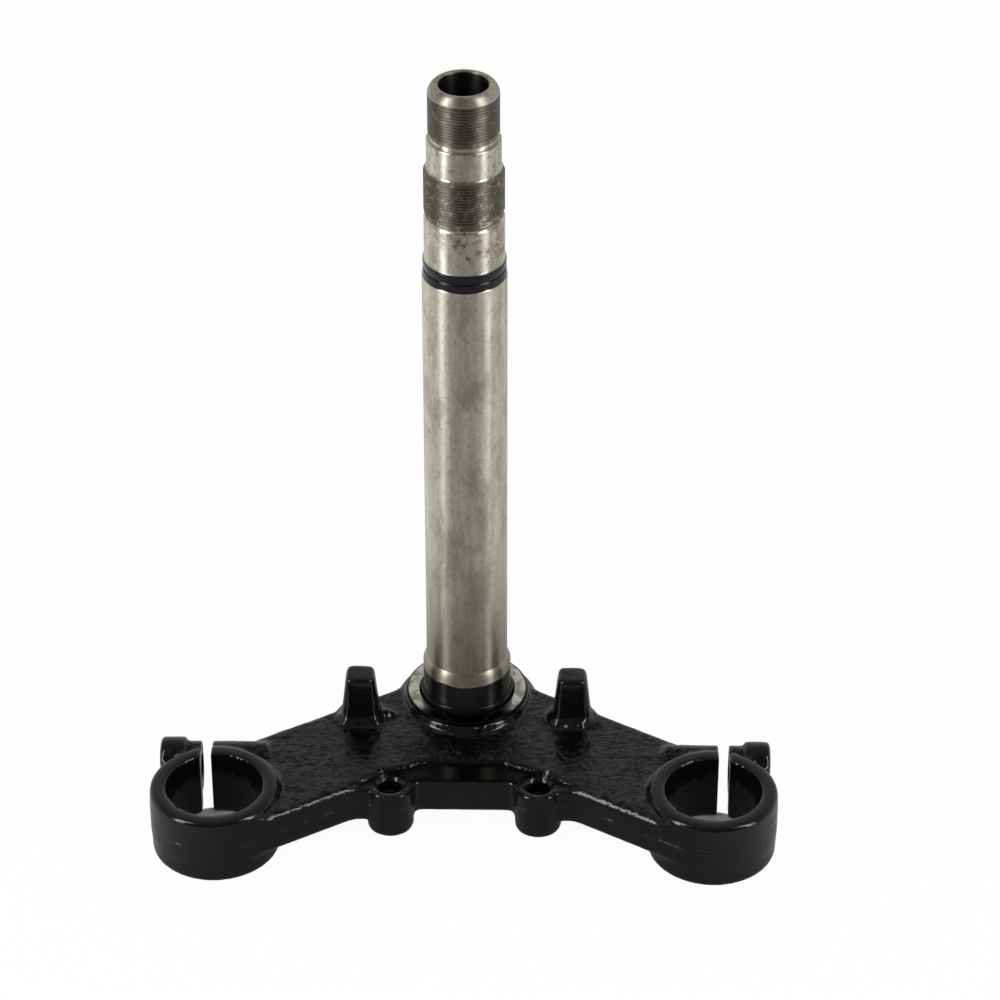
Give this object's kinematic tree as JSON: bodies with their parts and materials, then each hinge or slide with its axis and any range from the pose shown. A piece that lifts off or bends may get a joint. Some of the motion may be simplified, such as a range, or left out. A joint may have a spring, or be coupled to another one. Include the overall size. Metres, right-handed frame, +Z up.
{
  "type": "steering stem",
  "caption": "Motorcycle steering stem: a hollow threaded stem pressed into a forged bottom yoke, whose swept arms end in split clamps for the fork tubes.",
  "frame": {"origin": "on the stem's axis, in the plane of the fork clamps' lower faces", "axes": "+Z up along the stem, +X to the right fork clamp seen from the front, -Y towards the front, where the fork clamps are"},
  "size_m": [0.2024, 0.0969, 0.25],
  "materials": {
    "yoke_paint": "gloss black paint over a forged surface, worn at its edges",
    "stem_steel": "turned bare steel, warm grey, with dark threads",
    "washer_steel": "plain bare steel sheet"
  },
  "bodies": {
    "root": {"bottom_yoke": "yoke_paint", "steering_stem": "stem_steel", "seat_washer": "washer_steel"}
  },
  "joints": []
}
